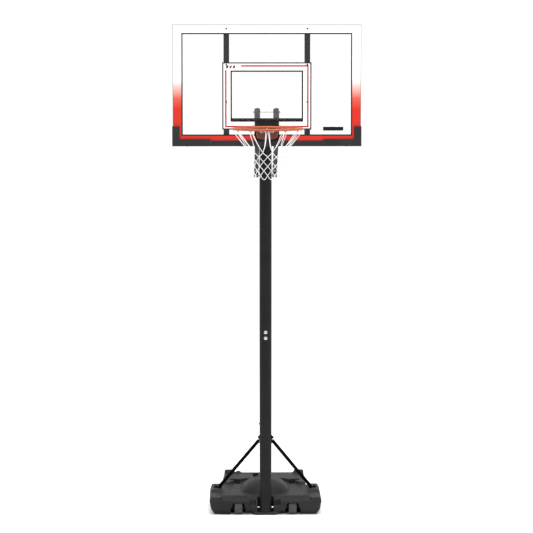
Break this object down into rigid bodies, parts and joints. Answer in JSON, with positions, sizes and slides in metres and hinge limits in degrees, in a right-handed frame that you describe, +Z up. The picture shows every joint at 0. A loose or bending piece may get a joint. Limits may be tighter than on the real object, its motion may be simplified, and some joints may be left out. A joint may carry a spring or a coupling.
{
  "type": "portable basketball hoop",
  "caption": "Free-standing basketball hoop with a clear backboard on height-adjusting arms, a sprung rim with net, and a wheeled base tank.",
  "frame": {"origin": "on the floor under the pole's axis, in the flat foot below the pole", "axes": "+Z up along the pole, -Y towards the rim and the court, +X to the right seen from the court"},
  "size_m": [1.329, 2.2246, 3.6],
  "materials": {
    "charcoal_plastic": "matte",
    "black_plastic": "satin",
    "sand": "matte",
    "black_steel": "satin",
    "zinc_steel": "satin",
    "bright_axle": "polished",
    "spring_steel": "satin",
    "orange_steel": "gloss",
    "clear_sheet": "gloss",
    "trim_metal": "satin",
    "pad_foam": "matte",
    "net_cord": "matte",
    "wheel_plastic": "matte",
    "nylon": "satin"
  },
  "bodies": {
    "stand": {"base_shell": "charcoal_plastic", "base_ballast": "sand", "axle": "bright_axle", "pole_bottom": "black_steel", "pole_middle": "black_steel", "pole_top": "black_steel", "pole_cap": "black_plastic", "pole_screw": "black_steel", "brace_left": "black_steel", "brace_right": "black_steel", "brace_top_bolt": "black_steel", "brace_foot_bolts": "black_steel", "adjuster_bracket": "black_steel", "carriage_bolts": "zinc_steel", "guide_rod": "zinc_steel", "spring_anchor": "black_steel", "anchor_screws": "zinc_steel", "counter_springs": "spring_steel", "pole_bolt_upper": "zinc_steel", "pole_bolt_lower": "zinc_steel"},
    "filler_cap": {"fill_cap": "black_plastic"},
    "drain_plug": {"drain_cap": "black_plastic"},
    "left_wheel": {"wheel_left": "wheel_plastic"},
    "right_wheel": {"wheel_right": "wheel_plastic"},
    "lower_arms": {"lower_arm_left": "black_steel", "lower_arm_right": "black_steel", "rear_pin": "zinc_steel"},
    "upper_arms": {"upper_arm_left": "black_steel", "upper_arm_right": "black_steel"},
    "board": {"backboard_panel": "clear_sheet", "edge_trim": "trim_metal", "backboard_pad": "pad_foam", "pad_screws": "black_steel", "panel_screws": "zinc_steel", "frame_upright_left": "black_steel", "frame_upright_right": "black_steel", "frame_crossbar_top": "black_steel", "frame_crossbar_middle": "black_steel", "frame_crossbar_bottom": "black_steel", "board_bracket_left": "black_steel", "board_bracket_right": "black_steel", "board_bolt_upper": "zinc_steel", "board_bolt_lower": "zinc_steel", "rim_mount": "black_steel", "rim_bolts": "zinc_steel", "rim_pivot_pin": "zinc_steel", "rim_springs": "spring_steel"},
    "rim": {"rim_ring": "orange_steel", "rim_plate": "orange_steel", "rim_brace": "orange_steel", "net_hooks": "orange_steel", "net": "net_cord"},
    "elevator": {"elevator_tube": "black_steel", "elevator_head": "black_steel", "tube_bush": "nylon", "handle": "black_plastic", "lock_plates": "zinc_steel", "trigger_pin": "zinc_steel"},
    "trigger_lever": {"trigger": "black_plastic"}
  },
  "joints": [
    {"name": "height_lift", "type": "hinge", "parent": "stand", "child": "lower_arms", "pos_m": [0, 0, 2.539], "axis": [-1, 0, 0], "range_deg": [-60.7, 16.6], "deforming": ["counter_springs"]},
    {"name": "upper_arm_pivot", "type": "hinge", "parent": "stand", "child": "upper_arms", "pos_m": [0, 0, 2.759], "axis": [-1, 0, 0], "range_deg": [-60.71, 16.61]},
    {"name": "board_pivot", "type": "hinge", "parent": "lower_arms", "child": "board", "pos_m": [0, -0.56538, 2.768], "axis": [-1, 0, 0], "range_deg": [-16.61, 60.71]},
    {"name": "elevator_slide", "type": "slide", "parent": "stand", "child": "elevator", "axis": [0, 0, 1], "range_m": [-0.0304, 0.1109]},
    {"name": "rim_tip", "type": "hinge", "parent": "board", "child": "rim", "pos_m": [0, -0.69, 2.862], "axis": [1, 0, 0], "range_deg": [0, 22], "stiffness_Nm_per_rad": 160, "springref_deg": -20.05},
    {"name": "trigger_pull", "type": "hinge", "parent": "elevator", "child": "trigger_lever", "pos_m": [0, 0.131, 1.546], "axis": [1, 0, 0], "range_deg": [0, 12], "stiffness_Nm_per_rad": 0.6, "springref_deg": -17.19},
    {"name": "left_wheel_spin", "type": "hinge", "parent": "stand", "child": "left_wheel", "pos_m": [-0.2, 0, 0.051], "axis": [1, 0, 0], "continuous": true},
    {"name": "right_wheel_spin", "type": "hinge", "parent": "stand", "child": "right_wheel", "pos_m": [0.2, 0, 0.051], "axis": [1, 0, 0], "continuous": true},
    {"name": "filler_cap_turn", "type": "hinge", "parent": "stand", "child": "filler_cap", "pos_m": [-0.07, 0.47, 0.2], "axis": [0, 0, 1], "continuous": true},
    {"name": "drain_plug_turn", "type": "hinge", "parent": "stand", "child": "drain_plug", "pos_m": [0.084, -0.03, 0.094], "axis": [0, 1, 0], "continuous": true}
  ],
  "couplings": [
    {"joint": "upper_arm_pivot", "follows": "height_lift", "ratio": 1},
    {"joint": "board_pivot", "follows": "height_lift", "ratio": -1},
    {"joint": "elevator_slide", "follows": "height_lift", "m_per_rad": -0.1045}
  ]
}
